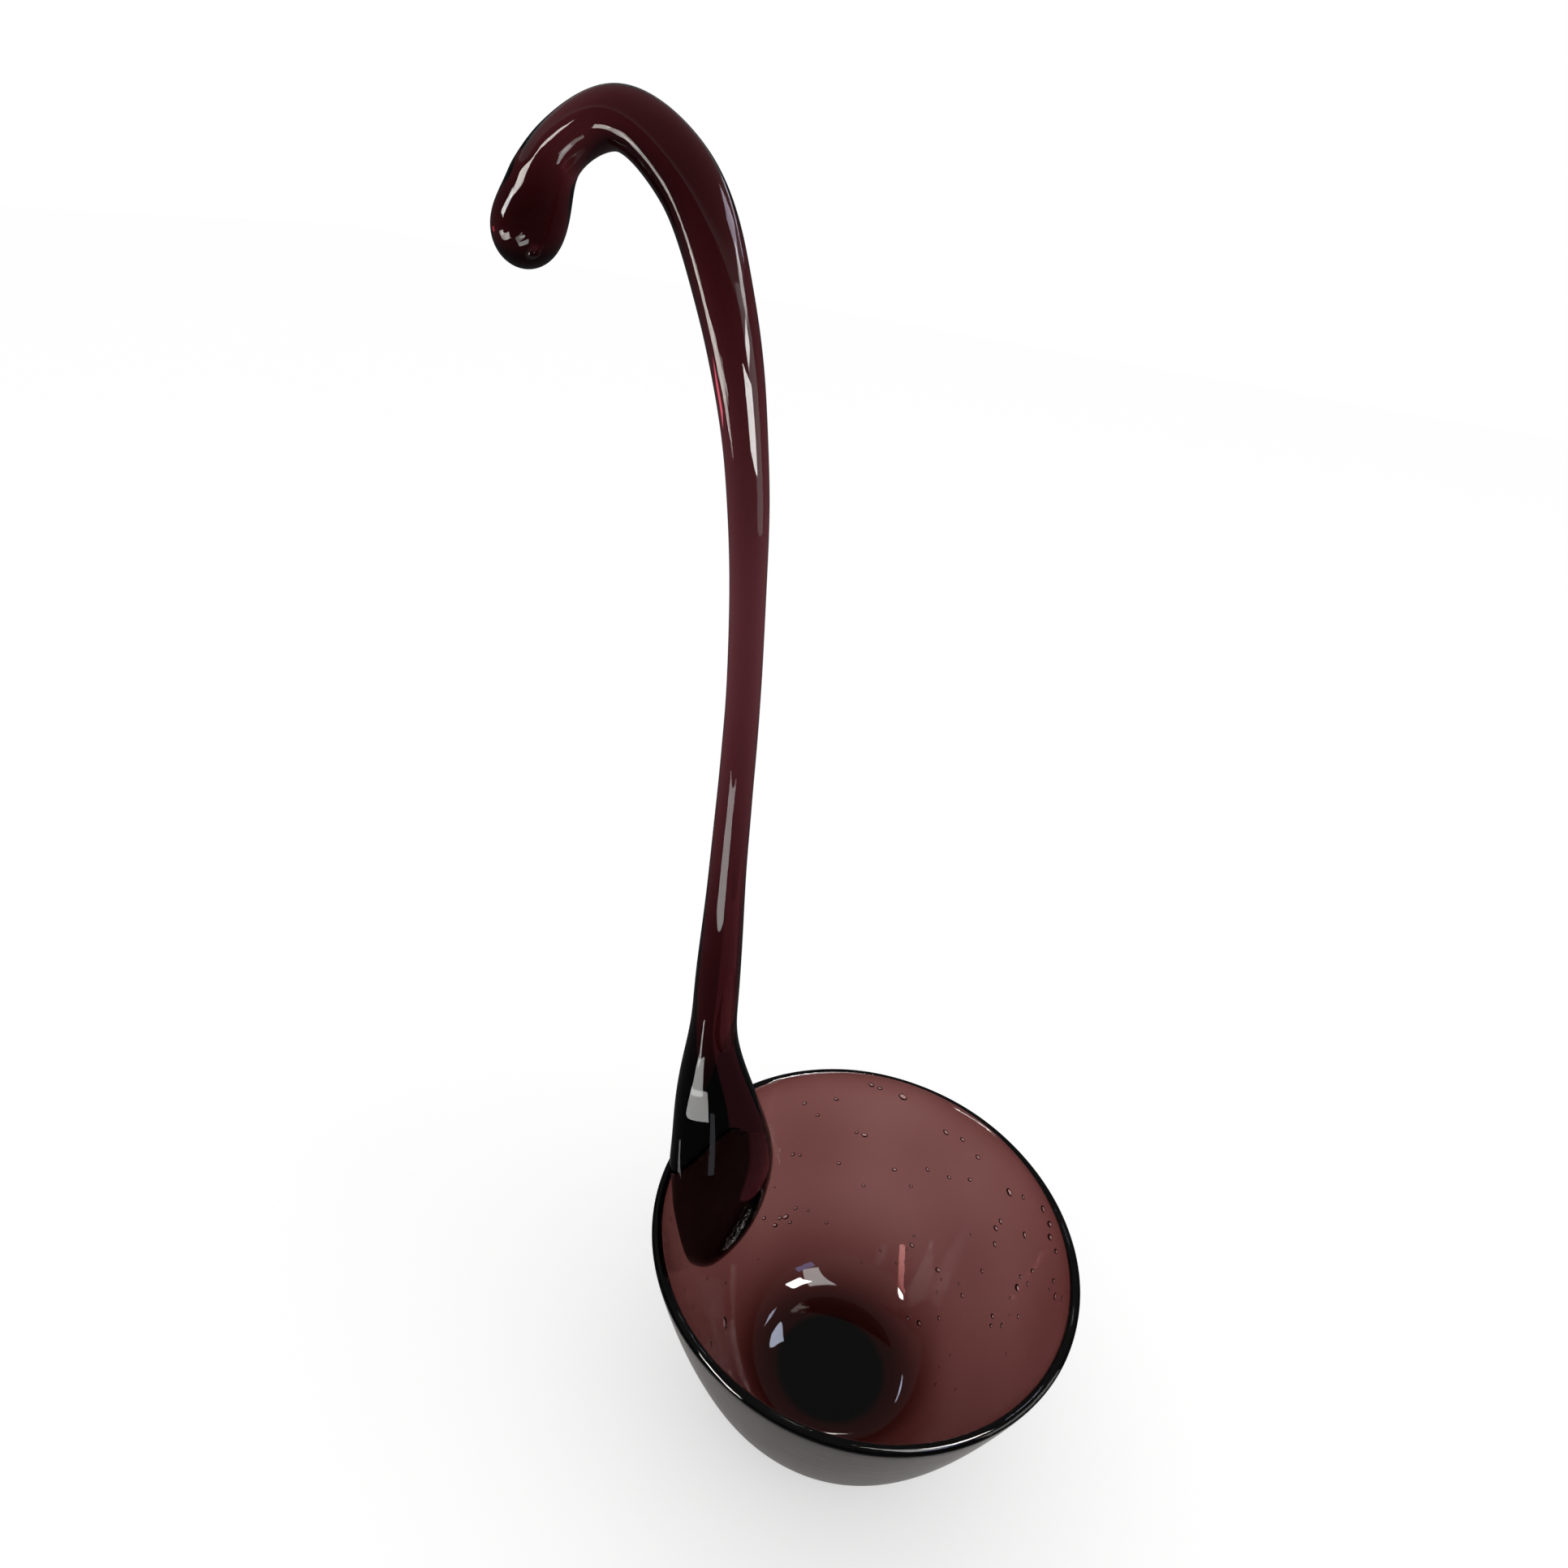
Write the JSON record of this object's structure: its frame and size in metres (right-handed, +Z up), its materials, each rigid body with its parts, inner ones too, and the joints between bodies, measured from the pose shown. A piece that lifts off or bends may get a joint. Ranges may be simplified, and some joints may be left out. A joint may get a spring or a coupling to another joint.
{
  "type": "glass ladle",
  "caption": "Glass punch ladle: a deep round bowl with a tall drawn handle fused over its rim and curled outward into a hook with a rounded end.",
  "frame": {"origin": "centre of the flat base that the bowl stands on", "axes": "+Z up along the bowl's axis, the handle stands at -X and its hook curls towards -X, XZ is the mirror plane"},
  "size_m": [0.1515, 0.1, 0.275],
  "materials": {
    "bowl_glass": "blown amethyst glass, fire polished, with small bubbles",
    "handle_glass": "solid drawn amethyst glass, fire polished"
  },
  "bodies": {
    "root": {"bowl": "bowl_glass", "handle": "handle_glass"}
  },
  "joints": []
}
